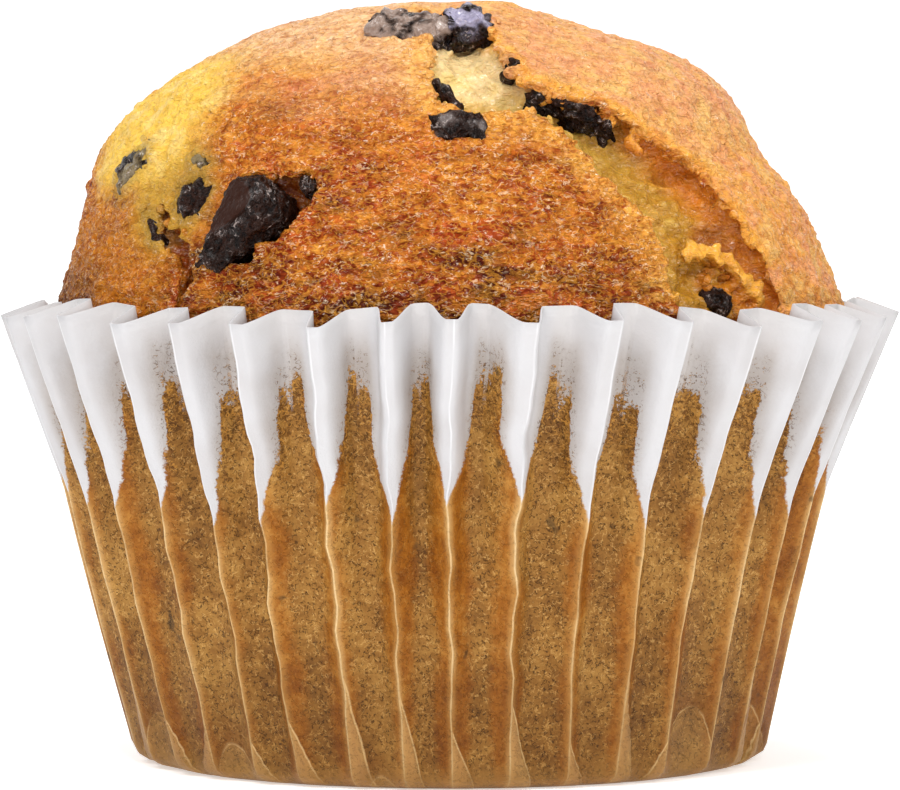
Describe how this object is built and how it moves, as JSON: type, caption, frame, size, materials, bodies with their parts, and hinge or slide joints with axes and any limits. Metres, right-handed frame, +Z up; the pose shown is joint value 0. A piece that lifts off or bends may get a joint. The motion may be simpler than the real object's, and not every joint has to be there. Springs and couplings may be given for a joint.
{
  "type": "muffin",
  "caption": "Domed, cracked chocolate chunk muffin standing in its flared, pleated paper baking case, with a flat foot to rest on.",
  "frame": {"origin": "middle of the case's foot, on the surface that the muffin stands on", "axes": "+Z up; -Y towards the front, where the dome's wide crack runs down to the rim"},
  "size_m": [0.0722, 0.0722, 0.0607],
  "materials": {
    "crust": "baked cake crust, golden brown, slightly glossy and crumbly, pale crumb in the cracks",
    "paper": "thin white greaseproof paper, satin, translucent, stained brown where the cake touches it",
    "chocolate": "dark baked chocolate, semi-gloss with a grey bloom"
  },
  "bodies": {
    "root": {"cake": "crust", "paper_case": "paper", "chocolate_left_large": "chocolate", "chocolate_left_inner": "chocolate", "chocolate_left_outer": "chocolate", "chocolate_left_upper": "chocolate", "chocolate_left_sliver": "chocolate", "chocolate_hollow_end": "chocolate", "chocolate_top_left": "chocolate", "chocolate_top_right": "chocolate", "chocolate_window_chip": "chocolate", "chocolate_crack_strip": "chocolate", "chocolate_crack_lower": "chocolate", "chocolate_crack_right": "chocolate", "chocolate_rim_chip": "chocolate", "chocolate_back_crack": "chocolate", "chocolate_back_high": "chocolate", "chocolate_back_low": "chocolate", "chocolate_back_right": "chocolate", "chocolate_side_right": "chocolate", "chocolate_side_left": "chocolate"}
  },
  "joints": []
}
